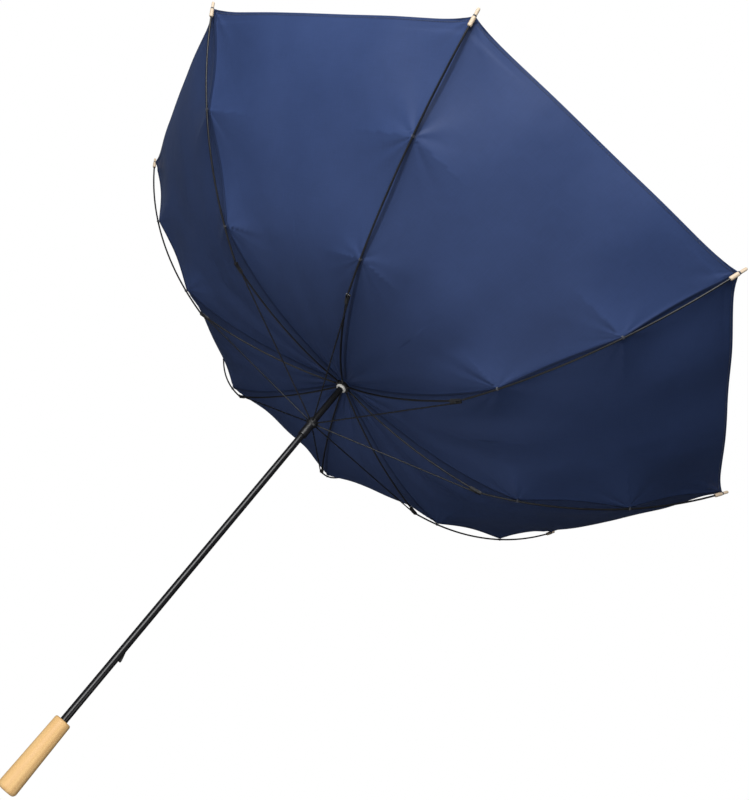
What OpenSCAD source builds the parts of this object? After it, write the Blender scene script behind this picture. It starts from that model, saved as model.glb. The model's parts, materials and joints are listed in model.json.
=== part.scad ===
// Stick umbrella with eight ribs, blown inside out: the rim stands above the crown.
// Origin: centre of the handle's flat end. +Z runs up the shaft to the ferrule.

/* [Shaft and handle] */
// Outer diameter of the steel shaft
shaft_d = 12; // [11:0.5:13]
// Wall of the steel shaft
shaft_wall = 0.8; // [0.6:0.1:1.2]
// Height of the rib pivots above the handle's end
notch_h = 812; // [790:1:840]
// Length of the wooden handle
handle_len = 110; // [100:1:125]
// Handle diameter where the shaft leaves it
handle_top_d = 27; // [24:0.5:30]
// Handle diameter near its free end
handle_end_d = 31; // [28:0.5:34]
// Length of the ferrule above the crown washer
ferrule_len = 92; // [75:1:110]
// Diameter of the ferrule's straight end
ferrule_d = 10; // [8:0.5:12]

/* [Ribs] */
// Radius of the circle of rib pivots
rib_pivot_r = 12.2; // [12:0.1:13]
// Radius from the shaft axis to the joint clips
joint_r = 308; // [300:1:315]
// Drop of the joint clips below the rib pivots
joint_drop = 31; // [28:1:34]
// Radius from the shaft axis to the rim
rim_r = 650; // [640:1:660]
// Rise of the rim above the rib pivots
rim_rise = 222; // [215:1:230]
// Bow of the inner rib away from its chord
inner_bow = 12.5; // [11:0.5:13]
// Bow of the outer rib away from its chord
outer_bow = 30; // [28:0.5:30.5]
// Diameter of the inner rib
inner_rib_d = 3.2; // [2.8:0.1:3.3]
// Diameter of the outer rib
outer_rib_d = 3.2; // [2.6:0.1:3.2]
// Sideways lean of the outer ribs, which lets them fold past the stretchers
outer_lean = 0.7; // [0.6:0.05:0.8]

/* [Runner and stretchers] */
// Drop of the stretcher pivots below the rib pivots, with the umbrella open
runner_drop = 94; // [90:1:98]
// Radius of the circle of stretcher pivots
runner_pivot_r = 9; // [8.9:0.1:9.2]
// Outer diameter of the runner's sleeve
runner_d = 16.5; // [16:0.5:17]
// Diameter of a stretcher
stretcher_d = 2.4; // [2:0.1:2.5]
// Sideways offset of a stretcher's outer end from its rib
stretcher_side = 3.8; // [3.75:0.05:3.9]

/* [Canopy] */
// Thickness of the canopy panels
cloth_t = 0.8; // [0.6:0.1:1.2]
// Gap between neighbouring panels
panel_gap = 0.3; // [0.2:0.1:0.6]

/* [Hidden] */
RIBS = 8;
STEP = 360 / RIBS;
NUMBERS = [for (k = [1:RIBS]) k];

BLACK = [0.06, 0.06, 0.07];
STEEL = [0.7, 0.7, 0.72];
BEECH = [0.86, 0.69, 0.45];
NAVY = [0.08, 0.13, 0.27];
CREAM = [0.85, 0.84, 0.8];
ROUND = 48;

shaft_r = shaft_d / 2;
shaft_in = shaft_r - shaft_wall;
shaft_above = 32;
slide_fit = 0.1;
handle_socket = 40;
handle_end_round = 5.5;
handle_top_round = 3;
crimp_drops = [462, 485];
crimp_r = 1.2;
hub_r = rib_pivot_r + 1.6;
hub_low = -2.2;
hub_high = 3.5;
collar_h = 4.2;
collar_r = 9.6;
collar_bevel = 1;
wire_r = 0.5;
slot_w = 2.2;
eye_t = 1.6;
eye_r = 1.7;
eye_hole = 0.6;
rosette_h = hub_high + 0.2;
canopy_h = 5;
crown_h = canopy_h + cloth_t + 0.3;
washer_t = 1.4;
washer_r = 12.5;
clip_cheek_in = 1.1;
clip_cheek_out = 2.1;
pin_r = 0.7;
plate_t = 1.2;
stretcher_near = 1;
runner_len = 32;
crown_half = 4;
runner_crown_r = 10.4;
catch_w = 2.2;
catch_az = 3.5 * STEP;
upper_catch_az = catch_az + 2 * STEP;
keyway_r = 9.9;
lower_hook_drop = 596;
hook_h = 18;
lower_reach = 9.6;
upper_reach = 9.2;
tie_in = 64;
tie_out = 258;
crown_seam_r = 20;
crown_slope = -0.2;
tie_slope = 0.214;
panel_end = 8;
joint_at = [joint_r, -joint_drop];
rim_at = [rim_r, rim_rise];
hub_at = [rib_pivot_r, 0];

// An arc over a chord from a to b in the radial plane, bowed by s to the chord's underside.
function chord(a, b) = norm(b - a);
function slope(a, b) = atan2(b[1] - a[1], b[0] - a[0]);
function arc_r(a, b, s) = (pow(chord(a, b), 2) / 4 + s * s) / (2 * s);
function half(a, b, s) = asin(chord(a, b) / 2 / arc_r(a, b, s));
function up(a, b) = [-sin(slope(a, b)), cos(slope(a, b))];
function centre(a, b, s) = (a + b) / 2 + up(a, b) * (arc_r(a, b, s) - s);
function start(a, b, s) = slope(a, b) - 90 - half(a, b, s);
function arc_len(a, b, s) = 2 * half(a, b, s) * PI / 180 * arc_r(a, b, s);
function along(a, b, s, d) =
  let (t = start(a, b, s) + d / arc_r(a, b, s) * 180 / PI)
  centre(a, b, s) + arc_r(a, b, s) * [cos(t), sin(t)];
function heading(a, b, s, d) = start(a, b, s) + 90 + d / arc_r(a, b, s) * 180 / PI;

inner_len = arc_len(hub_at, joint_at, inner_bow);
outer_len = arc_len(joint_at, rim_at, outer_bow);
joint_heading = heading(hub_at, joint_at, inner_bow, inner_len);
outer_heading = heading(joint_at, rim_at, outer_bow, 0);

// Height of the seam above the outer rib at distance d along it: nil at the ties, and bowed between.
BAYS = [[tie_in, tie_out, 12], [tie_out, outer_len + 0.01, 12]];
function bay(d) = [for (b = BAYS) if (d >= b[0] && d < b[1]) b][0];
function in_bay(d) = (d - bay(d)[0]) / (bay(d)[1] - bay(d)[0]);
function seam_gap(d) = outer_rib_d / 2 + 1.4 + bay(d)[2] * sin(180 * in_bay(d));
function seam_point(d) =
  let (h = heading(joint_at, rim_at, outer_bow, d))
  along(joint_at, rim_at, outer_bow, d) + seam_gap(d) * [-sin(h), cos(h)];

// A smooth curve from a to b in the radial plane, with the given slope at each end.
function smooth_point(a, b, slope_a, slope_b, t) = [
  a[0] + (b[0] - a[0]) * t,
  (2 * t * t * t - 3 * t * t + 1) * a[1] + (3 * t * t - 2 * t * t * t) * b[1]
  + (b[0] - a[0]) * ((t * t * t - 2 * t * t + t) * slope_a + (t * t * t - t * t) * slope_b)];

// Places its children on rib k, in the radial plane, with the rib pivot's height as zero.
module on_rib(k) translate([0, 0, notch_h]) rotate(k * STEP) children();

// Places its children at the joint of rib k, with the outer rib's sideways lean.
module leaning() translate([joint_r, 0, -joint_drop]) rotate([0, -slope(joint_at, rim_at), 0])
  rotate([0, 0, -outer_lean]) rotate([0, slope(joint_at, rim_at), 0])
  translate([-joint_r, 0, joint_drop]) children();

// A round rod along an arc, from distance d0 to d1.
module arc_rod(a, b, s, r, d0, d1)
  translate([centre(a, b, s)[0], 0, centre(a, b, s)[1]])
  rotate([90, 0, 0])
  rotate(start(a, b, s) + d0 / arc_r(a, b, s) * 180 / PI)
  rotate_extrude(angle = (d1 - d0) / arc_r(a, b, s) * 180 / PI, $fn = 360)
  translate([arc_r(a, b, s), 0]) circle(r, $fn = 24);

// A flat eye in the radial plane, with its hole at the origin and a neck towards +X.
module eye(hole, neck)
  difference() {
    union() {
      rotate([90, 0, 0]) cylinder(r = eye_r, h = eye_t, center = true, $fn = ROUND);
      translate([0, -eye_t / 2, -1.2]) cube([neck, eye_t, 2.4]);
    }
    rotate([90, 0, 0]) cylinder(r = hole, h = 4, center = true, $fn = ROUND);
  }

module ring(r_out, r_in, h) difference() {
  cylinder(r = r_out, h = h, $fn = ROUND * 2);
  translate([0, 0, -1]) cylinder(r = r_in, h = h + 2, $fn = ROUND * 2);
}

module wire(r, z) translate([0, 0, z]) rotate_extrude($fn = 96)
  translate([r, 0]) circle(wire_r, $fn = 24);

// Eight radial slots that begin at radius r_in.
module slots(r_in, w, z, h) for (k = [0:RIBS - 1])
  rotate(k * STEP) translate([r_in, -w / 2, z]) cube([20, w, h]);

// A window in the shaft's wall, for a catch to stand out of.
module window(az, low, high) rotate(az) translate([0, -catch_w / 2 - 0.3, low])
  cube([20, catch_w + 0.6, high - low]);

lower_hook_z = notch_h - lower_hook_drop;
upper_hook_z = notch_h - runner_drop - runner_len - 0.6;
shaft_len = notch_h + shaft_above - handle_len + handle_socket;

module shaft() color(BLACK) difference() {
  translate([0, 0, handle_len - handle_socket]) cylinder(r = shaft_r, h = shaft_len, $fn = 96);
  translate([0, 0, handle_len - handle_socket - 1]) cylinder(r = shaft_in, h = notch_h, $fn = 96);
  window(catch_az, lower_hook_z - 1, lower_hook_z + hook_h + 1);
  window(upper_catch_az, upper_hook_z - hook_h - 1, upper_hook_z + 1);
  for (drop = crimp_drops)
    rotate(catch_az + 180) translate([shaft_r + crimp_r / 2, 0, notch_h - drop])
      sphere(crimp_r, $fn = ROUND);
}

// The points of a rounded corner about (x, y), from angle a0 to a1.
function corner(x, y, r, a0, a1) =
  [for (i = [0:6]) let (a = a0 + (a1 - a0) * i / 6) [x + r * cos(a), y + r * sin(a)]];

module handle() color(BEECH) difference() {
  rotate_extrude($fn = 96) polygon(concat(
    [[0, 0]],
    corner(handle_end_d / 2 - handle_end_round, handle_end_round, handle_end_round, -90, 0),
    corner(handle_top_d / 2 - handle_top_round, handle_len - handle_top_round, handle_top_round, 0, 90),
    [[0, handle_len]]));
  translate([0, 0, handle_len - handle_socket]) cylinder(r = shaft_r, h = handle_len, $fn = 96);
}

module ferrule() color(BEECH) translate([0, 0, notch_h + crown_h + washer_t]) difference() {
  rotate_extrude($fn = 96) polygon(concat(
    [[0, 0], [9.4, 0], [10, 0.8], [10, 5], [8.2, 14], [ferrule_d / 2, 34]],
    corner(ferrule_d / 2 - 2.5, ferrule_len - 2.5, 2.5, 0, 90),
    [[0, ferrule_len]]));
  translate([0, 0, -1]) cylinder(r = shaft_r, h = shaft_above - crown_h - washer_t + 1, $fn = 96);
}

module crown_washer() color(BLACK) translate([0, 0, notch_h + crown_h])
  ring(washer_r, shaft_r, washer_t);

module rosette() color(NAVY) translate([0, 0, notch_h + rosette_h]) ring(18, shaft_r, 0.5);

module top_notch() color(BLACK) translate([0, 0, notch_h]) difference() {
  translate([0, 0, hub_low]) ring(hub_r, shaft_r, hub_high - hub_low);
  slots(rib_pivot_r - 2.2, slot_w, hub_low - 1, 10);
  translate([0, 0, -wire_r - 0.05]) ring(rib_pivot_r + wire_r + 0.05, rib_pivot_r - wire_r - 0.05, 10);
}

module notch_collar() color(CREAM) translate([0, 0, notch_h + hub_low - collar_h]) difference() {
  ring(collar_r, shaft_r, collar_h);
  for (z = [0, collar_h]) translate([0, 0, z])
    rotate_extrude($fn = 96) translate([collar_r, 0]) rotate(45) square(collar_bevel, center = true);
}

module notch_wire() color(STEEL) wire(rib_pivot_r, notch_h);

module runner() color(BLACK) translate([0, 0, notch_h - runner_drop]) difference() {
  union() {
    translate([0, 0, -runner_len]) cylinder(d = runner_d, h = runner_len, $fn = 96);
    translate([0, 0, -crown_half]) cylinder(r = runner_crown_r, h = 2 * crown_half, $fn = 96);
    translate([0, 0, -crown_half - 3]) cylinder(r1 = runner_d / 2, r2 = runner_crown_r, h = 3, $fn = 96);
  }
  translate([0, 0, -runner_len - 1]) cylinder(r = shaft_r + slide_fit, h = runner_len + 20, $fn = 96);
  translate([0, 0, -runner_len + 3]) ring(runner_d / 2 + 1, runner_d / 2 - 0.5, 0.8);
  slots(runner_pivot_r - 1.8, slot_w, -eye_r - 0.5, 20);
  translate([0, 0, -wire_r - 0.05])
    ring(runner_pivot_r + wire_r + 0.05, runner_pivot_r - wire_r - 0.05, 20);
  for (az = [catch_az, upper_catch_az]) rotate(az)
    translate([0, -catch_w / 2 - 0.4, -runner_len - 1]) cube([keyway_r, catch_w + 0.8, runner_len + 20]);
}

module runner_wire() color(STEEL) wire(runner_pivot_r, notch_h - runner_drop);

// A leaf inside the tube with a hook that stands out of a window. The hook's flat is at z = 0.
module catch_spring(reach) rotate([90, 0, 0]) translate([0, 0, -catch_w / 2]) linear_extrude(catch_w)
  polygon([[1.6, -14], [2.8, -14], [2.8, -0.2], [reach - 0.8, -0.2], [reach, 0.8], [reach - 0.2, 3.4],
           [reach - 1.4, 8], [shaft_r - 0.2, hook_h - 1.5], [2.8, hook_h - 0.5], [2.8, 44], [1.6, 44]]);

module lower_catch() color(BLACK) translate([0, 0, lower_hook_z]) rotate(catch_az)
  catch_spring(lower_reach);

module upper_catch() color(BLACK) translate([0, 0, upper_hook_z]) rotate(upper_catch_az)
  mirror([0, 0, 1]) catch_spring(upper_reach);

module rib_inner(k) color(BLACK) on_rib(k) {
  translate([rib_pivot_r, 0, 0]) rotate([0, -heading(hub_at, joint_at, inner_bow, 0), 0]) eye(eye_hole, 6);
  arc_rod(hub_at, joint_at, inner_bow, inner_rib_d / 2, 6, inner_len - 5.5);
}

module rib_outer(k) color(BLACK) on_rib(k) leaning() {
  translate([joint_r, 0, -joint_drop]) rotate([0, -outer_heading, 0]) eye(pin_r + 0.05, 6);
  arc_rod(joint_at, rim_at, outer_bow, outer_rib_d / 2, 6, outer_len - 8);
}

// A wooden tip: a sleeve over the rib's end, and a thinner rounded point.
module rib_tip(k) color(BEECH) on_rib(k) leaning() translate([rim_r, 0, rim_rise])
  rotate([0, 90 - heading(joint_at, rim_at, outer_bow, outer_len), 0]) difference() {
    rotate_extrude($fn = ROUND) polygon(concat(
      [[0, -14], [2.7, -14]],
      corner(2.4, -12.7, 0.9, -50, 0),
      corner(2.3, -0.9, 0.9, 0, 70),
      [[2, 0.2], [2, 0.9]],
      corner(1.9, 1.5, 0.5, -60, 0),
      [[2.5, 10]],
      corner(0, 10.6, 2.4, 10, 90)));
    translate([0, 0, -15]) cylinder(r = outer_rib_d / 2 + 0.05, h = 8, $fn = 24);
  }

// The clip: a sleeve on the inner rib, two cheeks beside the outer rib's eye, and a rivet.
module rib_clip(k) color(BLACK) on_rib(k) difference() {
  translate([joint_r, 0, -joint_drop]) rotate([0, -joint_heading, 0]) {
    translate([-19, -clip_cheek_out, -2.4]) cube([12.5, 2 * clip_cheek_out, 4.8]);
    for (side = [-1, 1]) translate([-7, side > 0 ? clip_cheek_in : -clip_cheek_out, -2.4])
      cube([7, clip_cheek_out - clip_cheek_in, 4.8]);
    for (side = [-1, 1]) rotate([90, 0, 0])
      translate([0, 0, side * (clip_cheek_in + clip_cheek_out) / 2])
      cylinder(r = 2.4, h = clip_cheek_out - clip_cheek_in, center = true, $fn = ROUND);
    rotate([90, 0, 0]) cylinder(r = pin_r, h = 2 * clip_cheek_in + 0.4, center = true, $fn = 24);
  }
  arc_rod(hub_at, joint_at, inner_bow, inner_rib_d / 2 + 0.05, inner_len - 20, inner_len - 5.4);
}

// A straight rod from the runner wire to a flat plate beside the clip, with its rivet.
stretcher_from = [runner_pivot_r, -runner_drop];
stretcher_len = chord(stretcher_from, joint_at);
stretcher_slope = slope(stretcher_from, joint_at);
stretcher_lean = atan((stretcher_side - stretcher_near) / stretcher_len);
module stretcher(k) color(BLACK) on_rib(k) translate([runner_pivot_r, 0, -runner_drop])
  rotate([0, -stretcher_slope, 0]) {
    eye(eye_hole, 6);
    translate([0, stretcher_near, 0]) rotate([0, 0, stretcher_lean]) rotate([0, 90, 0])
      translate([0, 0, 4.5]) cylinder(d = stretcher_d, h = stretcher_len - 10.5, $fn = 24);
    translate([stretcher_len, stretcher_side, 0]) {
      rotate([90, 0, 0]) cylinder(r = 2.2, h = plate_t, center = true, $fn = ROUND);
      translate([-9, -plate_t / 2, -1.6]) cube([9, plate_t, 3.2]);
      translate([0, 0.9, 0]) rotate([90, 0, 0]) cylinder(r = 1.3, h = 0.8, center = true, $fn = 24);
      translate([0, -1, 0]) rotate([90, 0, 0]) cylinder(r = pin_r, h = 0.8, center = true, $fn = 24);
    }
  }

// A panel of cloth, centred on its rib and flat from the rib to each neighbouring seam line.
CROWN_STEPS = 10;
SEAM_STEPS = 12;
seam_line = concat(
  [[7, canopy_h]],
  [for (i = [0:CROWN_STEPS - 1])
    smooth_point([crown_seam_r, canopy_h], seam_point(tie_in), crown_slope, tie_slope, i / CROWN_STEPS)],
  [for (i = [0:SEAM_STEPS]) seam_point(tie_in + (outer_len - panel_end - tie_in) * i / SEAM_STEPS)]);
function panel_ring(p, dz) = [
  [p[0] * cos(STEP / 2) * cos(STEP / 2), -p[0] * cos(STEP / 2) * sin(STEP / 2) + panel_gap / 2, p[1] + dz],
  [p[0], 0, p[1] + dz],
  [p[0] * cos(STEP / 2) * cos(STEP / 2), p[0] * cos(STEP / 2) * sin(STEP / 2) - panel_gap / 2, p[1] + dz]];
module panel(k) color(NAVY) on_rib(k) {
  n = len(seam_line);
  points = [for (p = seam_line) each concat(panel_ring(p, 0), panel_ring(p, cloth_t))];
  sides = [0, 1, 2, 5, 4, 3];
  faces = concat(
    [[0, 1, 4, 3], [1, 2, 5, 4]],
    [[6 * n - 6, 6 * n - 3, 6 * n - 2, 6 * n - 5], [6 * n - 5, 6 * n - 2, 6 * n - 1, 6 * n - 4]],
    [for (i = [0:n - 2], j = [0:5])
      let (a = 6 * i + sides[j], b = 6 * i + sides[(j + 1) % 6]) [a, a + 6, b + 6, b]]);
  polyhedron(points, faces);
}

shaft();
handle();
ferrule();
crown_washer();
rosette();
top_notch();
notch_collar();
notch_wire();
runner();
runner_wire();
lower_catch();
upper_catch();
for (k = NUMBERS) {
  rib_inner(k - 1);
  rib_outer(k - 1);
  rib_tip(k - 1);
  rib_clip(k - 1);
  stretcher(k - 1);
  panel(k - 1);
}
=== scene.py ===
"""A stick umbrella blown inside out: canopy cloth, seams, threads and finishes built round the CAD frame."""
import json
import math

import bpy
import numpy as np
from mathutils import Matrix, Vector


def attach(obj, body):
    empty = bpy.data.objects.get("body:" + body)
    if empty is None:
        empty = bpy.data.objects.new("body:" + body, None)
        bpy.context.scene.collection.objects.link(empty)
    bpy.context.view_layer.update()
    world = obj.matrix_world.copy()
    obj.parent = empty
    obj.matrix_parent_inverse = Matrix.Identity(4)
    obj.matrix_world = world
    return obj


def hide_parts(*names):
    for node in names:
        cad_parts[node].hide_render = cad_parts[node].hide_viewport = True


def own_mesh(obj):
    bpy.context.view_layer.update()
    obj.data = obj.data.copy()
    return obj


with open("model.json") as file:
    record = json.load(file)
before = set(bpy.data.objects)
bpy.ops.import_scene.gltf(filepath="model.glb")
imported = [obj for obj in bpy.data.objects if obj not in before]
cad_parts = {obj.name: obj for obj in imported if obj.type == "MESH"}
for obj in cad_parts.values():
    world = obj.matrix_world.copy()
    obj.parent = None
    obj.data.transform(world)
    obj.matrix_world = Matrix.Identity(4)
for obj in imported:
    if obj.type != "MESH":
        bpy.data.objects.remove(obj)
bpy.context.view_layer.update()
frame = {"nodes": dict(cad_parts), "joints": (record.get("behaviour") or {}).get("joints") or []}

# ---------------------------------------------------------------- the frame's own geometry, in metres
JOINTS = {joint["name"]: joint for joint in frame["joints"]}
RIBS = sum(name.startswith("rib_") and name.endswith("_hinge") for name in JOINTS)
STEP = 2 * math.pi / RIBS
COS_HALF = math.cos(STEP / 2)
SIN_HALF = math.sin(STEP / 2)
HUB = np.array([JOINTS["rib_1_hinge"]["pos_m"][0], 0.0])
NOTCH_Z = JOINTS["rib_1_hinge"]["pos_m"][2]
CLIP = np.array([JOINTS["rib_1_joint"]["pos_m"][0], JOINTS["rib_1_joint"]["pos_m"][2] - NOTCH_Z])
# The end of a rib: its radius, and its height above the hub.
RIM = np.array([0.650, 0.222])
# How far each half of a rib bows below its chord, and how far the outer half leans sideways.
INNER_BOW = 0.0125
OUTER_BOW = 0.030
OUTER_LEAN = math.radians(0.7)
RIB_R = 0.0016
# The two ties on an outer rib, measured from its joint.
TIE_IN = 0.064
TIE_OUT = 0.258

# ---------------------------------------------------------------- the lines of the cloth, in metres
# The seam's height over a tied rib's centre line, and its bow off the rib between ties.
SEAM_LIFT = RIB_R + 0.0016
BAY_BOW = 0.012
# The seam climbs over the tip's sleeve, then falls to the tip's neck. Each step has a start and a run.
SLEEVE_LIFT = 0.0011
SLEEVE_START, SLEEVE_RUN = 0.024, 0.008
NECK_DROP = 0.0010
NECK_START, NECK_RUN = 0.0035, 0.003
# The edge of the flat crown: its radius, its height above the hub, and the slopes beyond it.
CROWN = np.array([0.020, 0.0054])
CROWN_SLOPE = -0.2
TIE_SLOPE = 0.214
# The middle of a gore joins the outer ribs' curve this far past the joint, at this height over it, and
# the hem is lower.
MIDDLE_IN = 0.14
MIDDLE_LIFT = 0.010
MIDDLE_EDGE = -0.002
# The cloth starts at this radius, round the shaft, and ends this far past the ribs.
CLOTH_START_R = 0.007
EDGE_PAST = 0.0012


class Arc:
    """A circular arc in a rib's radial plane, from a to b, bowed below its chord."""

    def __init__(self, a, b, bow):
        chord = np.linalg.norm(b - a)
        slope = math.atan2(b[1] - a[1], b[0] - a[0])
        self.radius = (chord ** 2 / 4 + bow ** 2) / (2 * bow)
        half = math.asin(chord / 2 / self.radius)
        up = np.array([-math.sin(slope), math.cos(slope)])
        self.centre = (a + b) / 2 + up * (self.radius - bow)
        self.start = slope - math.pi / 2 - half
        self.length = 2 * half * self.radius

    def point(self, d):
        """Radius and height at distance d along the arc."""
        turn = self.start + d / self.radius
        return self.centre[0] + self.radius * np.cos(turn), self.centre[1] + self.radius * np.sin(turn)

    def heading(self, d):
        """The arc's direction at distance d, above level."""
        return self.start + math.pi / 2 + d / self.radius


INNER = Arc(HUB, CLIP, INNER_BOW)
OUTER = Arc(CLIP, RIM, OUTER_BOW)
RIB_LENGTH = INNER.length + OUTER.length
TIES = (INNER.length + TIE_IN, INNER.length + TIE_OUT)
CLOTH_START = CLOTH_START_R - HUB[0]
CROWN_D = CROWN[0] - HUB[0]
CLOTH_END = RIB_LENGTH + EDGE_PAST


def smooth(x):
    """An even rise from 0 to 1 as x goes from 0 to 1."""
    x = np.clip(x, 0.0, 1.0)
    return x * x * (3 - 2 * x)


def rise(d, stretch):
    """The same rise as d crosses a stretch, given by its two ends."""
    return smooth((d - stretch[0]) / (stretch[1] - stretch[0]))


def beside_outer(d, gap):
    """Radius and height of the point at distance d along the ribs, at a gap above the outer rib."""
    r, z = OUTER.point(d - INNER.length)
    heading = OUTER.heading(d - INNER.length)
    return r - gap * np.sin(heading), z + gap * np.cos(heading)


def from_crown(d, end_d, end, end_slope, outer):
    """A flat crown, a smooth dip to the point `end`, and the curve `outer` beyond it."""
    t = np.clip((d - CROWN_D) / (end_d - CROWN_D), 0, 1)
    run = end[0] - CROWN[0]
    r = CROWN[0] + run * t + np.minimum(d - CROWN_D, 0)
    z = ((2 * t ** 3 - 3 * t ** 2 + 1) * CROWN[1] + (3 * t ** 2 - 2 * t ** 3) * end[1]
         + run * ((t ** 3 - 2 * t ** 2 + t) * CROWN_SLOPE + (t ** 3 - t ** 2) * end_slope))
    beyond = d > end_d
    return np.where(beyond, outer[0], r), np.where(beyond, outer[1], z)


def seam_profile(d):
    """The seam: a dip over the joint, then two shallow bows over the outer rib, and a lift over the tip."""
    gap = np.full_like(d, SEAM_LIFT)
    for low, high in zip(TIES, (TIES[1], RIB_LENGTH)):
        gap = gap + BAY_BOW * np.sin(math.pi * np.clip((d - low) / (high - low), 0, 1))
    gap = gap + SLEEVE_LIFT * smooth((d - RIB_LENGTH + SLEEVE_START) / SLEEVE_RUN)
    gap = gap - (SLEEVE_LIFT + NECK_DROP) * smooth((d - RIB_LENGTH + NECK_START) / NECK_RUN)
    tie = beside_outer(TIES[0], SEAM_LIFT)
    return from_crown(d, TIES[0], tie, TIE_SLOPE, beside_outer(d, gap))


def middle_profile(d):
    """The middle of a gore, which runs smoothly past the joint without the seam's crease."""
    end_d = INNER.length + MIDDLE_IN
    gap = MIDDLE_EDGE + (MIDDLE_LIFT - MIDDLE_EDGE) * (1 - smooth((d - end_d) / (CLOTH_END - end_d)))
    end = beside_outer(end_d, MIDDLE_LIFT)
    return from_crown(d, end_d, end, math.tan(OUTER.heading(MIDDLE_IN)), beside_outer(d, gap))


# ---------------------------------------------------------------- the canopy's surface
# How far the hem's middle is drawn in from its corners, and how squarely it turns into them.
CORNER_DIP = 0.0052
CORNER_POWER = 12
# How soon the middle's line takes over from the seam's, across half a gore.
SEAM_HOLD = 1.6
# The folds fade in over the first stretch of the way along the ribs, and tilt with them over the second.
CROWN_BLEND = (0.004, 0.045)
TILT_BLEND = (0.1, 0.4)
# Billow of a gore's middle, and the stretches over which it rises and falls.
BILLOW = 0.0015
BILLOW_RISE, BILLOW_FALL = 0.35, 0.25
# Pulls that fan out from a tie: how many, how strong and how turned, then their reach and flat core.
PUCKER = 0.0013
PULLS = ((7, 0.6, 1), (11, 0.4, -1.3))
PULL_REACH, PULL_VARIES = 0.045, 0.012
PULL_CORE = 0.012
PULL_SEAM = 0.004
# Flutes beside a seam, pleats round the crown, and broad waves over the whole gore.
FLUTE = 0.0012
FLUTE_SHARE = 0.25
FLUTE_PITCH, FLUTE_SWAY, FLUTE_REACH, FLUTE_SEAM = 0.0085, 0.05, 0.018, 0.006
PLEAT_AT = 0.05
WAVE_LENGTH = 0.11
WAVE_START = 0.2


def gore_surface(gore, d, s):
    """Points of the cloth between two ribs, in the row's frame.

    d is the distance along the ribs. s runs across the gore, from -1 at rib `gore` to 1 at the next rib.
    """
    gore, d, s = np.broadcast_arrays(np.asarray(gore), np.asarray(d, float), np.asarray(s, float))
    d = d - CORNER_DIP * (1 - s ** CORNER_POWER) * smooth((d - TIES[1]) / (CLOTH_END - TIES[1])) ** 2
    seam, middle = seam_profile(d), middle_profile(d)
    blend = smooth((1 - np.abs(s)) * SEAM_HOLD)
    r, z = (low * (1 - blend) + high * blend for low, high in zip(seam, middle))
    heading = OUTER.heading(d - INNER.length) * rise(d, TILT_BLEND)
    lift = folds(gore, d, s, r) * rise(d, CROWN_BLEND)
    across = r * SIN_HALF * s
    radial = r * COS_HALF - lift * np.sin(heading)
    height = z + NOTCH_Z + lift * np.cos(heading)
    turn = (gore + 0.5) * STEP - np.maximum(d - INNER.length, 0) * math.sin(OUTER_LEAN) / r
    return np.stack([radial * np.cos(turn) - across * np.sin(turn),
                     radial * np.sin(turn) + across * np.cos(turn), height], -1)


def folds(gore, d, s, r):
    """How far the cloth lifts off its straight cross lines: billow, pulls at the ties, and soft flutes."""
    beside = (1 - np.abs(s)) * r * SIN_HALF
    rib = (gore + np.where(s < 0, 0, 1)) % RIBS
    gore = gore % RIBS
    total = BILLOW * (1 - s ** 2) * smooth(d / BILLOW_RISE) * smooth((CLOTH_END - d) / BILLOW_FALL)
    for number, tie in enumerate((*TIES, CLOTH_END)):
        ahead = d - tie
        away = np.hypot(ahead, beside) + 1e-6
        angle = np.arctan2(beside, ahead)
        phase = 1.7 * rib + 2.3 * number
        rays = sum(share * np.cos(count * angle + turn * phase) for count, share, turn in PULLS)
        fade = (away / (away + PULL_CORE)) * np.exp(-away / (PULL_REACH + PULL_VARIES * np.sin(2.1 * phase)))
        total = total + PUCKER * rays * fade * smooth(beside / PULL_SEAM)
    flute = np.sin(beside / FLUTE_PITCH + 0.6 * np.sin(d / FLUTE_SWAY + rib)) * np.exp(-beside / FLUTE_REACH)
    total = total + FLUTE_SHARE * FLUTE * flute * smooth(beside / FLUTE_SEAM)
    pleat = np.cos(3 * math.pi * s + 0.4 * np.sin(gore * 2.0)) * np.exp(-((d - PLEAT_AT) / PLEAT_AT) ** 2)
    total = total + FLUTE * pleat * (1 - s ** 2)
    broad = np.sin(2.6 * math.pi * s + 1.1 * gore) * np.sin(d / WAVE_LENGTH + 0.8 * gore)
    return total + FLUTE * broad * (1 - s ** 2) ** 2 * smooth(d / WAVE_START)


def rib_side(rib, u):
    """The gores, and the places across them, of points u across rib's own piece, from -1 to 1."""
    u = np.asarray(u, float)
    return np.where(u > 0, rib, rib - 1), np.where(u > 0, u - 1, u + 1)


# Distances among which the joint's plane is looked up.
SPLIT_TABLE = np.linspace(0.2, 0.5, 400)


def split_at(rib, u):
    """Distances at which lines of the cloth cross the joint's upright plane, and heights above the joint."""
    gore, s = rib_side(rib, np.atleast_1d(u)[:, None])
    points = gore_surface(gore, SPLIT_TABLE, s)
    radial = points[..., 0] * math.cos(rib * STEP) + points[..., 1] * math.sin(rib * STEP)
    d = np.array([np.interp(CLIP[0], line, SPLIT_TABLE) for line in radial])
    heights = [np.interp(x, SPLIT_TABLE, line) for x, line in zip(d, points[..., 2])]
    return d, np.array(heights) - NOTCH_Z - CLIP[1]


ALONG_STEP = 2e-4
ACROSS_STEP = 2e-3
TINY = 1e-12


def surface_normals(gore, d, s):
    """Upward unit normals of the cloth. Steps across a gore stop at its seams, which keeps their crease."""
    low = np.where(s - ACROSS_STEP < -1, s, s - ACROSS_STEP)
    high = np.where(s + ACROSS_STEP > 1, s, s + ACROSS_STEP)
    along = gore_surface(gore, d + ALONG_STEP, s) - gore_surface(gore, d - ALONG_STEP, s)
    across = gore_surface(gore, d, high) - gore_surface(gore, d, low)
    normal = np.cross(along, across)
    normal *= np.sign(normal[..., 2:3] + TINY)
    return normal / np.linalg.norm(normal, axis=-1, keepdims=True)


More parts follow.
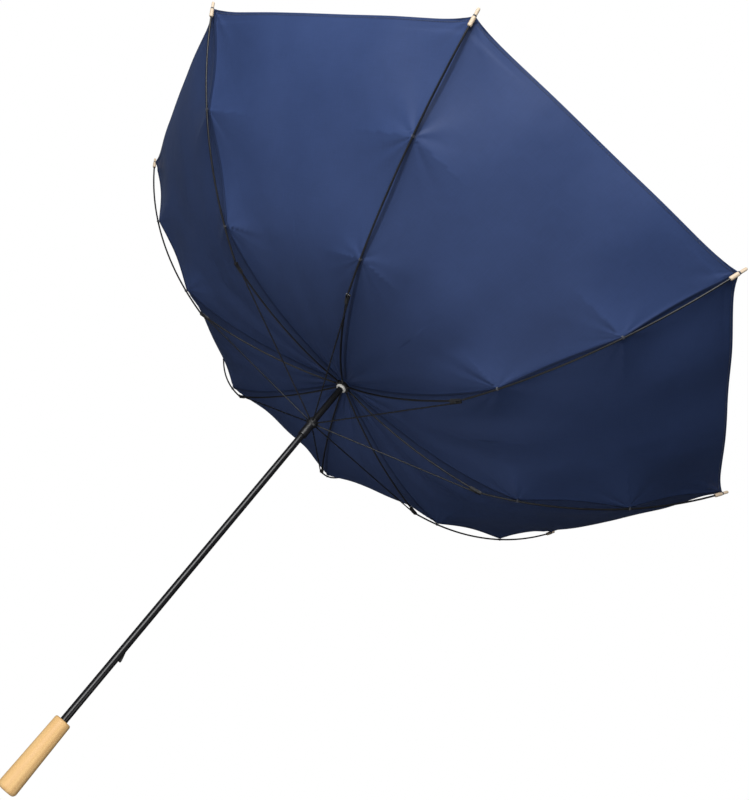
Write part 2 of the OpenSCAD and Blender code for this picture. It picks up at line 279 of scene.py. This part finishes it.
# ---------------------------------------------------------------- meshes
# Columns on each side of a rib, how they crowd towards it, and the half width of its crease.
COLUMNS = 44
CROWDING = 1.25
CREASE = 1e-5
# Thickness of the cloth, and of the flap that runs past the joint.
CLOTH_T = 0.0007
FLAP_T = 0.0003
FLAP_ROWS = 6
# The flap's length, as a share of the cloth's height over the joint, and the least such height.
FLAP_SHARE = 0.46
FLAP_LEAST = 0.004
# Rows of cloth inside and outside the joint.
ROWS = {"inner": 72, "outer": 104}


def columns():
    """Places across a rib's piece, closer together near the rib, with a crease along it."""
    half = np.linspace(0, 1, COLUMNS + 1)[1:] ** CROWDING
    return np.concatenate([-half[::-1], [-CREASE, CREASE], half])


def sheet_rows(rib, us, part, count):
    """Distances and half thicknesses along each line of a piece, with the flap that covers the joint."""
    split, height = split_at(rib, us)
    flap = FLAP_SHARE * np.maximum(height, FLAP_LEAST)
    if part == "inner":
        stretches = [(CLOTH_START, split, count, CLOTH_T), (split, split + flap, FLAP_ROWS, FLAP_T)]
    else:
        stretches = [(split - flap, split, FLAP_ROWS, FLAP_T), (split, CLOTH_END, count, CLOTH_T)]
    rows = [np.linspace(low, high, number) for low, high, number, _ in stretches]
    halves = [np.full(row.shape, stretch[-1] / 2) for row, stretch in zip(rows, stretches)]
    return np.concatenate(rows), np.concatenate(halves)


def make_object(name, vertices, faces, uvs=None, normals=None):
    """A smooth-shaded mesh object, with cut coordinates and exact normals where they are given."""
    mesh = bpy.data.meshes.new(name)
    mesh.from_pydata(np.asarray(vertices).tolist(), [], faces)
    mesh.polygons.foreach_set("use_smooth", [True] * len(mesh.polygons))
    if uvs is not None:
        corners = np.empty(len(mesh.loops), np.int32)
        mesh.loops.foreach_get("vertex_index", corners)
        layer = mesh.uv_layers.new(name="cut")
        layer.data.foreach_set("uv", uvs[corners].astype(np.float32).ravel())
    if normals is not None:
        mesh.normals_split_custom_set(normals.tolist())
    mesh.validate()
    mesh.update()
    piece = bpy.data.objects.new(name, mesh)
    bpy.context.scene.collection.objects.link(piece)
    return piece


def closed_grid(name, top, bottom, top_n, bottom_n, uv):
    """A closed thin solid between two grids of points, with exact normals on both faces."""
    rows, cols = top.shape[:2]
    count = rows * cols
    index = np.arange(count).reshape(rows, cols)
    vertices = np.concatenate([top.reshape(-1, 3), bottom.reshape(-1, 3)])
    a, b, c, e = (part.ravel() for part in (index[:-1, :-1], index[:-1, 1:], index[1:, 1:], index[1:, :-1]))
    upper = np.stack([a, e, c, b], -1)
    lower = np.stack([a, b, c, e], -1) + count
    ring = np.concatenate([index[0, :], index[1:, -1], index[-1, -2::-1], index[-2:0:-1, 0]])
    ahead = np.roll(ring, -1)
    rim = np.stack([ring, ahead, ahead + count, ring + count], -1)
    edge = np.cross(vertices[rim[:, 1]] - vertices[rim[:, 0]], vertices[rim[:, 2]] - vertices[rim[:, 0]])
    edge /= np.linalg.norm(edge, axis=1, keepdims=True) + TINY
    above = top_n.reshape(-1, 3)[upper.ravel()]
    below = bottom_n.reshape(-1, 3)[lower.ravel() - count]
    normals = np.concatenate([above, below, np.repeat(edge, 4, axis=0)])
    uvs = np.concatenate([uv.reshape(-1, 2), uv.reshape(-1, 2)])
    return make_object(name, vertices, np.concatenate([upper, lower, rim]).tolist(), uvs, normals)


def evaluate(rib, us, d):
    """Grids of points, normals and cut coordinates for one rib's piece, at distances d down each line."""
    gore, s = rib_side(rib, us)
    gore, s = np.broadcast_to(gore, d.shape), np.broadcast_to(s, d.shape)
    points = gore_surface(gore, d, s)
    uv = np.stack([np.hypot(points[..., 0], points[..., 1]) * SIN_HALF * s, d], -1)
    return points, surface_normals(gore, d, s), uv


def cloth_piece(rib, part):
    """One rib's piece of the canopy, inside or outside the joint, and its area."""
    us = columns()
    d, half = sheet_rows(rib, us, part, ROWS[part])
    points, normals, uv = evaluate(rib, us, d)
    spread = normals * half[..., None]
    piece = closed_grid(f"canopy_{rib + 1}_{part}", points + spread, points - spread, normals, -normals, uv)
    sides = np.cross(points[1:, :-1] - points[:-1, :-1], points[:-1, 1:] - points[:-1, :-1])
    return piece, float(np.linalg.norm(sides, axis=-1).sum())


# A direction that no thread runs in.
NO_THREAD_WAY = np.array([0.31, 0.17, 0.93])


def tube(paths, radius, sides, closed=False):
    """Vertices and faces of round threads along lists of points."""
    vertices, faces = [], []
    turns = 2 * math.pi * np.arange(sides) / sides
    for path in paths:
        path = np.array(path)
        count = len(path)
        if closed:
            ahead = np.roll(path, -1, 0) - np.roll(path, 1, 0)
        else:
            ahead = np.gradient(path, axis=0)
        ahead /= np.linalg.norm(ahead, axis=1, keepdims=True)
        side = np.cross(ahead, NO_THREAD_WAY)
        side /= np.linalg.norm(side, axis=1, keepdims=True)
        other = np.cross(ahead, side)
        base = sum(len(part) for part in vertices)
        around = np.cos(turns)[None, :, None] * side[:, None] + np.sin(turns)[None, :, None] * other[:, None]
        vertices.append((path[:, None] + radius * around).reshape(-1, 3))
        for i in range(count if closed else count - 1):
            here, there = base + i * sides, base + ((i + 1) % count) * sides
            for k in range(sides):
                after = (k + 1) % sides
                faces.append((here + k, here + after, there + after, there + k))
        if not closed:
            faces.append(tuple(base + k for k in reversed(range(sides))))
            faces.append(tuple(base + (count - 1) * sides + k for k in range(sides)))
    return np.concatenate(vertices), faces


def on_rib(rib, radial, across, height):
    """A point given in a rib's own plane, with its height above the hub."""
    turn = rib * STEP
    return np.array([radial * math.cos(turn) - across * math.sin(turn),
                     radial * math.sin(turn) + across * math.cos(turn), height + NOTCH_Z])


# ---------------------------------------------------------------- materials
class Finish:
    """A procedural material: one Principled shader, and short helpers for what feeds it."""

    def __init__(self, name, colour, roughness, **values):
        self.material = bpy.data.materials.new(name)
        self.material.use_nodes = True
        self.nodes = self.material.node_tree.nodes
        self.links = self.material.node_tree.links
        self.shader = self.nodes["Principled BSDF"]
        self.shader.inputs["Base Color"].default_value = (*colour, 1)
        self.shader.inputs["Roughness"].default_value = roughness
        for socket, value in values.items():
            self.shader.inputs[socket.replace("_", " ")].default_value = value

    def node(self, kind, **settings):
        """A new node with some of its settings."""
        made = self.nodes.new(kind)
        for key, value in settings.items():
            setattr(made, key, value)
        return made

    def wire(self, source, target):
        """A link between two sockets."""
        self.links.new(source, target)

    def place(self, scale=(1, 1, 1), source="Object"):
        """Scaled coordinates."""
        where = self.node("ShaderNodeTexCoord")
        mapping = self.node("ShaderNodeMapping")
        mapping.inputs["Scale"].default_value = scale
        self.wire(where.outputs[source], mapping.inputs["Vector"])
        return mapping.outputs["Vector"]

    def noise(self, vector, scale, detail=4, roughness=0.55):
        """Soft noise from 0 to 1."""
        made = self.node("ShaderNodeTexNoise")
        made.inputs["Scale"].default_value = scale
        made.inputs["Detail"].default_value = detail
        made.inputs["Roughness"].default_value = roughness
        self.wire(vector, made.inputs["Vector"])
        return made.outputs["Fac"]

    def ramp(self, value, *stops):
        """A colour ramp through stops of place and colour."""
        made = self.node("ShaderNodeValToRGB")
        while len(made.color_ramp.elements) < len(stops):
            made.color_ramp.elements.new(0.5)
        for element, (place, colour) in zip(made.color_ramp.elements, stops):
            element.position = place
            element.color = (*colour, 1)
        self.wire(value, made.inputs["Fac"])
        return made.outputs["Color"]

    def range(self, value, low, high, source=(0.3, 0.7)):
        """A value stretched from the source range to low and high."""
        made = self.node("ShaderNodeMapRange")
        made.inputs["From Min"].default_value, made.inputs["From Max"].default_value = source
        made.inputs["To Min"].default_value, made.inputs["To Max"].default_value = low, high
        self.wire(value, made.inputs["Value"])
        return made.outputs["Result"]

    def add(self, a, b):
        """The sum of two values."""
        return self.combined("ADD", a, b)

    def combined(self, operation, a, b):
        """Two values, or a value and a number, joined by a sum or a product."""
        made = self.node("ShaderNodeMath", operation=operation)
        self.wire(a, made.inputs[0])
        if isinstance(b, float):
            made.inputs[1].default_value = b
        else:
            self.wire(b, made.inputs[1])
        return made.outputs["Value"]

    def bump(self, height, distance, strength):
        """Relief on the shader's normal."""
        made = self.node("ShaderNodeBump")
        made.inputs["Distance"].default_value = distance
        made.inputs["Strength"].default_value = strength
        self.wire(height, made.inputs["Height"])
        self.wire(made.outputs["Normal"], self.shader.inputs["Normal"])

    def colour(self, source):
        """Feed the base colour."""
        self.wire(source, self.shader.inputs["Base Color"])

    def rough(self, source):
        """Feed the roughness."""
        self.wire(source, self.shader.inputs["Roughness"])


def scaled(colour, factor):
    """A colour made darker or lighter."""
    return tuple(c * factor for c in colour)


NAVY = (0.0185, 0.0322, 0.086)
BLACK = (0.0065, 0.0065, 0.0072)
SHEEN_TINT = (0.55, 0.66, 0.95, 1)
# Pitch of the cloth's threads, two to a wave, and the scale at which a wave texture has one wave a metre.
THREAD_PITCH = 0.00045
WAVE_SCALE = 0.314


def cloth_finish(name, colour=NAVY):
    """Plain-weave polyester: crossing threads, faint slubs, and a soft sheen."""
    cloth = Finish(name, colour, 0.48, Sheen_Weight=0.04, Sheen_Roughness=0.38, Specular_IOR_Level=0.11)
    cloth.shader.inputs["Sheen Tint"].default_value = SHEEN_TINT
    cut = cloth.place(source="UV")
    weave = []
    for axis in ("X", "Y"):
        wave = cloth.node("ShaderNodeTexWave", wave_type="BANDS", bands_direction=axis)
        wave.inputs["Scale"].default_value = WAVE_SCALE / (2 * THREAD_PITCH)
        wave.inputs["Distortion"].default_value = 0.6
        wave.inputs["Detail Scale"].default_value = 3.0
        cloth.wire(cut, wave.inputs["Vector"])
        weave.append(wave.outputs["Fac"])
    threads = cloth.combined("MULTIPLY", *weave)
    slub_across = cloth.noise(cloth.place((40, 900, 1), "UV"), 1.0, 2)
    slub_along = cloth.noise(cloth.place((900, 40, 1), "UV"), 1.0, 2)
    slubs = cloth.add(slub_across, slub_along)
    cloudy = cloth.noise(cloth.place(), 7.0, 3)
    mixed = cloth.add(cloth.range(slubs, 0.0, 0.5, (0.7, 1.3)), cloth.range(cloudy, 0.0, 0.5))
    cloth.colour(cloth.ramp(mixed, (0.15, scaled(colour, 0.90)), (0.85, scaled(colour, 1.10))))
    cloth.rough(cloth.range(cloudy, 0.44, 0.54))
    creases = cloth.range(cloth.noise(cloth.place(), 16.0, 3, 0.45), 0.0, 1.0)
    relief = cloth.add(cloth.combined("MULTIPLY", threads, 0.10), creases)
    cloth.bump(relief, 0.0010, 0.55)
    return cloth.material


def lacquer_finish(name, colour, roughness, coat=0.1):
    """Sprayed enamel on metal: a faint orange peel, and rubs that dull the gloss."""
    paint = Finish(name, colour, roughness, Coat_Weight=coat, Coat_Roughness=0.1, Specular_IOR_Level=0.16)
    peel = paint.noise(paint.place(), 900.0, 2)
    rubs = paint.noise(paint.place((6, 6, 0.6)), 20.0, 4, 0.6)
    paint.colour(paint.ramp(rubs, (0.35, colour), (0.75, scaled(colour, 1.3))))
    paint.rough(paint.range(rubs, roughness * 0.92, roughness * 1.12))
    paint.bump(peel, 0.00003, 0.1)
    return paint.material


def moulded_finish(name, colour, roughness):
    """Moulded plastic: a fine spark texture and slightly uneven gloss."""
    plastic = Finish(name, colour, roughness, Specular_IOR_Level=0.45)
    place = plastic.place()
    flow = plastic.noise(place, 90.0, 3)
    plastic.colour(plastic.ramp(flow, (0.3, scaled(colour, 0.92)), (0.7, scaled(colour, 1.12))))
    plastic.rough(plastic.range(flow, roughness * 0.85, roughness * 1.2))
    plastic.bump(plastic.noise(place, 1500.0, 2), 0.00010, 0.4)
    return plastic.material


def steel_finish(name, colour):
    """Drawn steel wire: streaks along it and a little tarnish."""
    steel = Finish(name, colour, 0.3, Metallic=1.0)
    tarnish = steel.noise(steel.place(), 260.0, 3)
    steel.colour(steel.ramp(tarnish, (0.3, scaled(colour, 0.7)), (0.7, colour)))
    steel.rough(steel.range(tarnish, 0.22, 0.42))
    steel.bump(steel.noise(steel.place((1, 1, 12)), 900.0, 2), 0.00008, 0.4)
    return steel.material


def wood_finish(name, light, dark, grain=1.0, gloss=0.36):
    """Turned hardwood under clear lacquer: growth bands, fine fibres and short pores along the grain."""
    wood = Finish(name, light, gloss, Coat_Weight=0.05, Coat_Roughness=0.3, Specular_IOR_Level=0.3)
    long_grain = wood.place((1, 1, 0.07))
    bands = wood.node("ShaderNodeTexWave", wave_type="BANDS", bands_direction="X")
    bands.inputs["Scale"].default_value = 34.0 * grain
    bands.inputs["Distortion"].default_value = 3.2
    bands.inputs["Detail"].default_value = 3.0
    bands.inputs["Detail Scale"].default_value = 1.4
    wood.wire(long_grain, bands.inputs["Vector"])
    fibres = wood.noise(wood.place((1, 1, 0.02)), 1300.0 * grain, 4, 0.6)
    cloudy = wood.noise(wood.place((1, 1, 0.35)), 42.0 * grain, 3)
    tone = wood.add(wood.range(bands.outputs["Fac"], 0.0, 0.42, (0, 1)), wood.range(fibres, 0.0, 0.34))
    tone = wood.add(tone, wood.range(cloudy, 0.0, 0.24))
    middle = tuple((a + b) / 2 for a, b in zip(light, dark))
    wood.colour(wood.ramp(tone, (0.05, dark), (0.45, middle), (0.9, light)))
    wood.rough(wood.range(fibres, gloss * 0.85, gloss * 1.25))
    wood.bump(fibres, 0.00012, 0.45)
    return wood.material


def thread_finish(name, colour):
    """Twisted sewing thread."""
    thread = Finish(name, colour, 0.7, Sheen_Weight=0.3, Sheen_Roughness=0.5)
    ply = thread.node("ShaderNodeTexWave", wave_type="BANDS", bands_direction="DIAGONAL")
    ply.inputs["Scale"].default_value = 900.0
    thread.wire(thread.place(), ply.inputs["Vector"])
    thread.colour(thread.ramp(ply.outputs["Fac"], (0.1, scaled(colour, 0.6)), (0.9, scaled(colour, 1.3))))
    thread.bump(ply.outputs["Fac"], 0.0001, 0.5)
    return thread.material


CLOTH = cloth_finish("navy_cloth")
HEM_CLOTH = cloth_finish("navy_hem", scaled(NAVY, 0.85))
# The seam bands are the same navy cloth darkened to 0.55: painted shade, the dark crease lines beside each
# rib.
SEAM_CLOTH_PAINTED_SHADE = cloth_finish("navy_seam", scaled(NAVY, 0.55))
THREAD = thread_finish("navy_thread", (0.008, 0.011, 0.022))
FINISHES = {
    "shaft": lacquer_finish("shaft_lacquer", BLACK, 0.24, 0.12),
    "handle": wood_finish("handle_wood", (0.52, 0.342, 0.150), (0.41, 0.238, 0.090), 1.0, 0.5),
    "ferrule": wood_finish("ferrule_beech", (0.74, 0.52, 0.28), (0.56, 0.36, 0.17), 1.6),
    "crown_washer": lacquer_finish("washer_enamel", BLACK, 0.35),
    "top_notch": moulded_finish("notch_plastic", BLACK, 0.38),
    "notch_collar": moulded_finish("collar_plastic", (0.60, 0.59, 0.56), 0.35),
    "notch_wire": steel_finish("wire_steel", (0.55, 0.55, 0.56)),
    "runner": moulded_finish("runner_plastic", BLACK, 0.32),
    "runner_wire": steel_finish("wire_steel_runner", (0.62, 0.62, 0.63)),
    "lower_catch": lacquer_finish("catch_steel", (0.012, 0.012, 0.012), 0.36),
    "upper_catch": lacquer_finish("catch_steel_upper", (0.012, 0.012, 0.012), 0.36),
    "rosette": CLOTH,
    "inner": lacquer_finish("inner_rib_enamel", BLACK, 0.30),
    "outer": lacquer_finish("outer_rib_enamel", BLACK, 0.30),
    "tip": wood_finish("tip_beech", (0.44, 0.36, 0.27), (0.34, 0.26, 0.18), 4.0, 0.55),
    "clip": moulded_finish("clip_plastic", (0.009, 0.009, 0.009), 0.42),
    "stretcher": lacquer_finish("stretcher_enamel", BLACK, 0.26),
}


def finish_cad():
    """Each CAD node's material, by its name, or by its last word where it is part of a rib."""
    for name, piece in frame["nodes"].items():
        words = name.split("_")
        kind = "stretcher" if words[0] == "stretcher" else words[-1] if words[0] == "rib" else name
        if kind not in FINISHES:
            continue
        for slot in piece.material_slots:
            slot.material = FINISHES[kind]


# ---------------------------------------------------------------- the canopy's pieces
# The seam's folded band: its width, its far edge as a share of that, its faces' heights over the cloth's
# middle, the distance at which it starts, and how far it stops short of the edge.
SEAM_W = 0.004
SEAM_FAR = -0.2
SEAM_FACES = (-CLOTH_T / 2 - 0.0012, -CLOTH_T / 2 + 0.0002)
SEAM_START = 0.012
SEAM_SHORT = 0.001
SEAM_ROWS = {"inner": 70, "outer": 90}
# The hem: its width, how far it wraps past the edge, and its extra thickness on each face.
HEM_W = 0.0048
HEM_WRAP = 0.0006
HEM_EXTRA = 0.00035
# Stitches: pitch, distance from the hem's inner edge, stand-off, arch, where each one's points lie, and
# the thread's radius.
STITCH_PITCH = 0.0042
STITCH_IN = 0.0014
STITCH_OFF = 0.0004
STITCH_ARCH = 0.00012
STITCH_STEPS = np.array([0.12, 0.5, 0.88])
STITCH_R = 0.0002
# Threads round a rib: their radius and sides, and the points in a loop.
THREAD_R = 0.00035
THREAD_SIDES = 7
LOOP_POINTS = 28
# Each kind of loop: its half width, then its bottom and top over the rib's centre line.
TIE_LOOP = (0.0021, -0.0021, 0.0045)
TIP_LOOP = (0.0025, -0.0025, 0.0027)
CORNER_LOOP = (0.0027, -0.0026, 0.0040)
# Loops at a tie, loops round a tip's neck, and the slanted ones that hold the cloth's corner.
TIE_LOOPS = 3
TIE_PITCH = 0.0010
TIP_LOOPS = 4
TIP_START = 0.0001
TIP_PITCH = 0.00055
CORNER_BACK = (0.0026, 0.0010)
CORNER_SLANT = -0.0014


def rounded(count, inset, power):
    """Shares of a band's full thickness at the points across it, which round its two edges."""
    return np.sin(np.linspace(inset, math.pi - inset, count)) ** power


def seam_strip(rib, part):
    """The two turned-in edges of a seam: a folded band on the rib's side of the cloth."""
    split = split_at(rib, CREASE)[0][0]
    ends = (SEAM_START, split) if part == "inner" else (split, CLOTH_END - SEAM_SHORT)
    across = np.linspace(SEAM_FAR, 1.0, 9) * SEAM_W
    across = np.where(np.abs(across) < CREASE, CREASE, across)
    d = np.broadcast_to(np.linspace(*ends, SEAM_ROWS[part])[:, None], (SEAM_ROWS[part], len(across)))
    us = np.clip(across / (np.maximum(seam_profile(d)[0], CROWN[0]) * SIN_HALF), -1, 1)
    points, normals, _ = evaluate(rib, us, d)
    uv = np.stack([np.broadcast_to(across, d.shape), d], -1)
    low, high = SEAM_FACES
    centre, spread = (low + high) / 2, (high - low) / 2 * rounded(len(across), 0.06, 0.35)[None, :, None]
    return closed_grid(f"seam_{rib + 1}_{part}", points + normals * (centre + spread),
                       points + normals * (centre - spread), normals, -normals, uv)


def hem_band(rib):
    """The canopy's edge, turned over twice and stitched."""
    us = columns()
    d = np.linspace(CLOTH_END - HEM_W, CLOTH_END + HEM_WRAP, 9)
    points, normals, uv = evaluate(rib, us, np.broadcast_to(d[:, None], (len(d), len(us))))
    spread = (CLOTH_T / 2 + HEM_EXTRA) * rounded(len(d), 0.10, 0.3)[:, None, None]
    return closed_grid(f"hem_{rib + 1}", points + normals * spread, points - normals * spread,
                       normals, -normals, uv)


def stitches(rib):
    """Lockstitches along the hem."""
    count = int(RIM[0] * SIN_HALF / STITCH_PITCH)
    places = (np.arange(1, count)[:, None] + STITCH_STEPS - 0.5) / count
    places = np.concatenate([-places, places])
    gore, s = rib_side(rib, places)
    line = np.full(places.shape, CLOTH_END - HEM_W + STITCH_IN)
    lift = CLOTH_T / 2 + STITCH_OFF + STITCH_ARCH * np.sin(math.pi * STITCH_STEPS)
    points = gore_surface(gore, line, s) - surface_normals(gore, line, s) * lift[:, None]
    return make_object(f"hem_stitches_{rib + 1}", *tube(points, STITCH_R, 5))


def loop_round(rib, d, width, low, high, reach=0.0):
    """A loop of thread round an outer rib at distance d from the joint.

    It runs from `low` to `high` above the rib's centre line, `width` to each side, slanted by `reach`.
    """
    centre, along, across = outer_line(d)
    normal = np.array([-along[1], along[0]])
    path = []
    for k in range(LOOP_POINTS):
        a = 2 * math.pi * k / LOOP_POINTS
        up = (low + high) / 2 + (high - low) / 2 * math.sin(a)
        spot = centre + along * reach * math.sin(a) + normal * up
        path.append(on_rib(rib, spot[0], across + width * math.cos(a), spot[1]))
    return path


def outer_line(d):
    """The outer rib's centre, direction and sideways place at a distance from the joint."""
    heading = OUTER.heading(d)
    along = np.array([math.cos(heading), math.sin(heading)])
    return np.array(OUTER.point(d)), along, -d * math.sin(OUTER_LEAN)


def tie_threads(rib):
    """Loops of thread that hold the seam to the rib at each tie."""
    paths = []
    for tie in (TIE_IN, TIE_OUT):
        for loop in range(TIE_LOOPS):
            d = tie + (loop - (TIE_LOOPS - 1) / 2) * TIE_PITCH
            paths.append(loop_round(rib, d, *TIE_LOOP))
    return make_object(f"ties_{rib + 1}", *tube(paths, THREAD_R, THREAD_SIDES, closed=True))


def tip_threads(rib):
    """The whipping that ties the canopy's corner to the neck of the tip."""
    loops = []
    for turn in range(TIP_LOOPS):
        loops.append(loop_round(rib, OUTER.length + TIP_START + turn * TIP_PITCH, *TIP_LOOP))
    for back in CORNER_BACK:
        loops.append(loop_round(rib, OUTER.length - back, *CORNER_LOOP, reach=CORNER_SLANT))
    return make_object(f"tip_thread_{rib + 1}", *tube(loops, THREAD_R, THREAD_SIDES, closed=True))


def dress_rib(rib):
    """All the soft pieces that belong to one rib, each riding on the body that carries it."""
    number = rib + 1
    bodies = {"inner": f"inner_rib_{number}", "outer": f"outer_rib_{number}"}
    seams = {part: seam_strip(rib, part) for part in bodies}
    hem, stitching = hem_band(rib), stitches(rib)
    whipping, ties = tip_threads(rib), tie_threads(rib)
    extras = {"inner": [seams["inner"]], "outer": [seams["outer"], hem, stitching]}
    for part in bodies:
        cloth, area = cloth_piece(rib, part)
        cloth.data.materials.append(CLOTH)
        reach = split_at(rib, 1.0)[0][0] if part == "inner" else CLOTH_END
        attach(cloth, bodies[part])
        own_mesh(cloth)
        if part == "outer":
            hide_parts(f"panel_{number}")
        for extra in extras[part]:
            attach(extra, bodies[part])
            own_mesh(extra)
    for seam in seams.values():
        # The seam bands get the darkened cloth: painted shade along the crease beside each rib.
        seam.data.materials.append(SEAM_CLOTH_PAINTED_SHADE)
    hem.data.materials.append(HEM_CLOTH)
    for piece in (stitching, whipping, ties):
        piece.data.materials.append(THREAD)
    for piece in (whipping, ties):
        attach(piece, bodies["outer"])


# ---------------------------------------------------------------- camera, lights and floor
CAMERA_AT = Vector((0.6756, 1.2002, 0.0801))
CAMERA_RIGHT = Vector((-0.52971, 0.62233, 0.57630))
CAMERA_UP = Vector((0.75501, 0.03636, 0.65471))
CAMERA_SHIFT = (0.0625, -0.0676)
CAMERA_LENS = 38.33


def add_camera():
    """The camera, turned by the directions of its picture's right and up."""
    data = bpy.data.cameras.new("camera")
    data.lens = CAMERA_LENS
    data.shift_x, data.shift_y = CAMERA_SHIFT
    data.clip_start = 0.01
    back = CAMERA_RIGHT.cross(CAMERA_UP).normalized()
    up = back.cross(CAMERA_RIGHT).normalized()
    right = CAMERA_RIGHT.normalized()
    camera = bpy.data.objects.new("camera", data)
    camera.matrix_world = Matrix.Translation(CAMERA_AT) @ Matrix((right, up, back)).transposed().to_4x4()
    bpy.context.scene.collection.objects.link(camera)
    bpy.context.scene.camera = camera


def add_area(name, azimuth, elevation, distance, size, power, target=(0, 0, 0.6)):
    """A square soft light, aimed at target from a direction given in degrees."""
    data = bpy.data.lights.new(name, "AREA")
    data.shape = "SQUARE"
    data.size = size
    data.energy = power
    a, e = math.radians(azimuth), math.radians(elevation)
    way = Vector((math.cos(e) * math.cos(a), math.cos(e) * math.sin(a), math.sin(e)))
    light = bpy.data.objects.new(name, data)
    light.location = Vector(target) + way * distance
    light.rotation_euler = way.to_track_quat("Z", "Y").to_euler()
    light.visible_camera = False
    bpy.context.scene.collection.objects.link(light)


EVEN_LIGHT = 0.025


def add_world():
    """White behind the object, and a dimmer even light on it."""
    world = bpy.data.worlds.new("studio")
    world.use_nodes = True
    nodes, links = world.node_tree.nodes, world.node_tree.links
    nodes.clear()
    seen, lit = nodes.new("ShaderNodeBackground"), nodes.new("ShaderNodeBackground")
    seen.inputs["Color"].default_value, seen.inputs["Strength"].default_value = (1, 1, 1, 1), 1.0
    lit.inputs["Color"].default_value, lit.inputs["Strength"].default_value = (0.94, 0.97, 1, 1), EVEN_LIGHT
    path, mix, out = (nodes.new(kind) for kind in
                      ("ShaderNodeLightPath", "ShaderNodeMixShader", "ShaderNodeOutputWorld"))
    links.new(path.outputs["Is Camera Ray"], mix.inputs[0])
    links.new(lit.outputs[0], mix.inputs[1])
    links.new(seen.outputs[0], mix.inputs[2])
    links.new(mix.outputs[0], out.inputs[0])
    bpy.context.scene.world = world


FLOOR_Z = -0.35
FLOOR_R = 1.9
FLOOR_SIDES = 96


def add_floor():
    """A pale round studio floor, below the handle."""
    turns = [2 * math.pi * k / FLOOR_SIDES for k in range(FLOOR_SIDES)]
    rim = [(FLOOR_R * math.cos(turn), FLOOR_R * math.sin(turn), FLOOR_Z) for turn in turns]
    floor = make_object("floor", rim, [tuple(range(FLOOR_SIDES))])
    pale = Finish("pale_floor", (0.85, 0.85, 0.85), 0.7)
    mottle = pale.noise(pale.place(), 3.0)
    pale.colour(pale.ramp(mottle, (0.3, (0.84, 0.84, 0.84)), (0.7, (0.86, 0.86, 0.86))))
    floor.data.materials.append(pale.material)


add_camera()
add_world()
add_floor()
add_area("key", azimuth=38, elevation=8, distance=2.6, size=1.8, power=139)
add_area("grip_fill", azimuth=110, elevation=-2, distance=0.9, size=0.45, power=1.6, target=(0, 0, 0.06))
add_area("top", azimuth=245, elevation=55, distance=2.6, size=1.6, power=11, target=(0, 0, 0.9))
bpy.context.scene.view_settings.view_transform = "Standard"
finish_cad()
for rib_index in range(RIBS):
    dress_rib(rib_index)
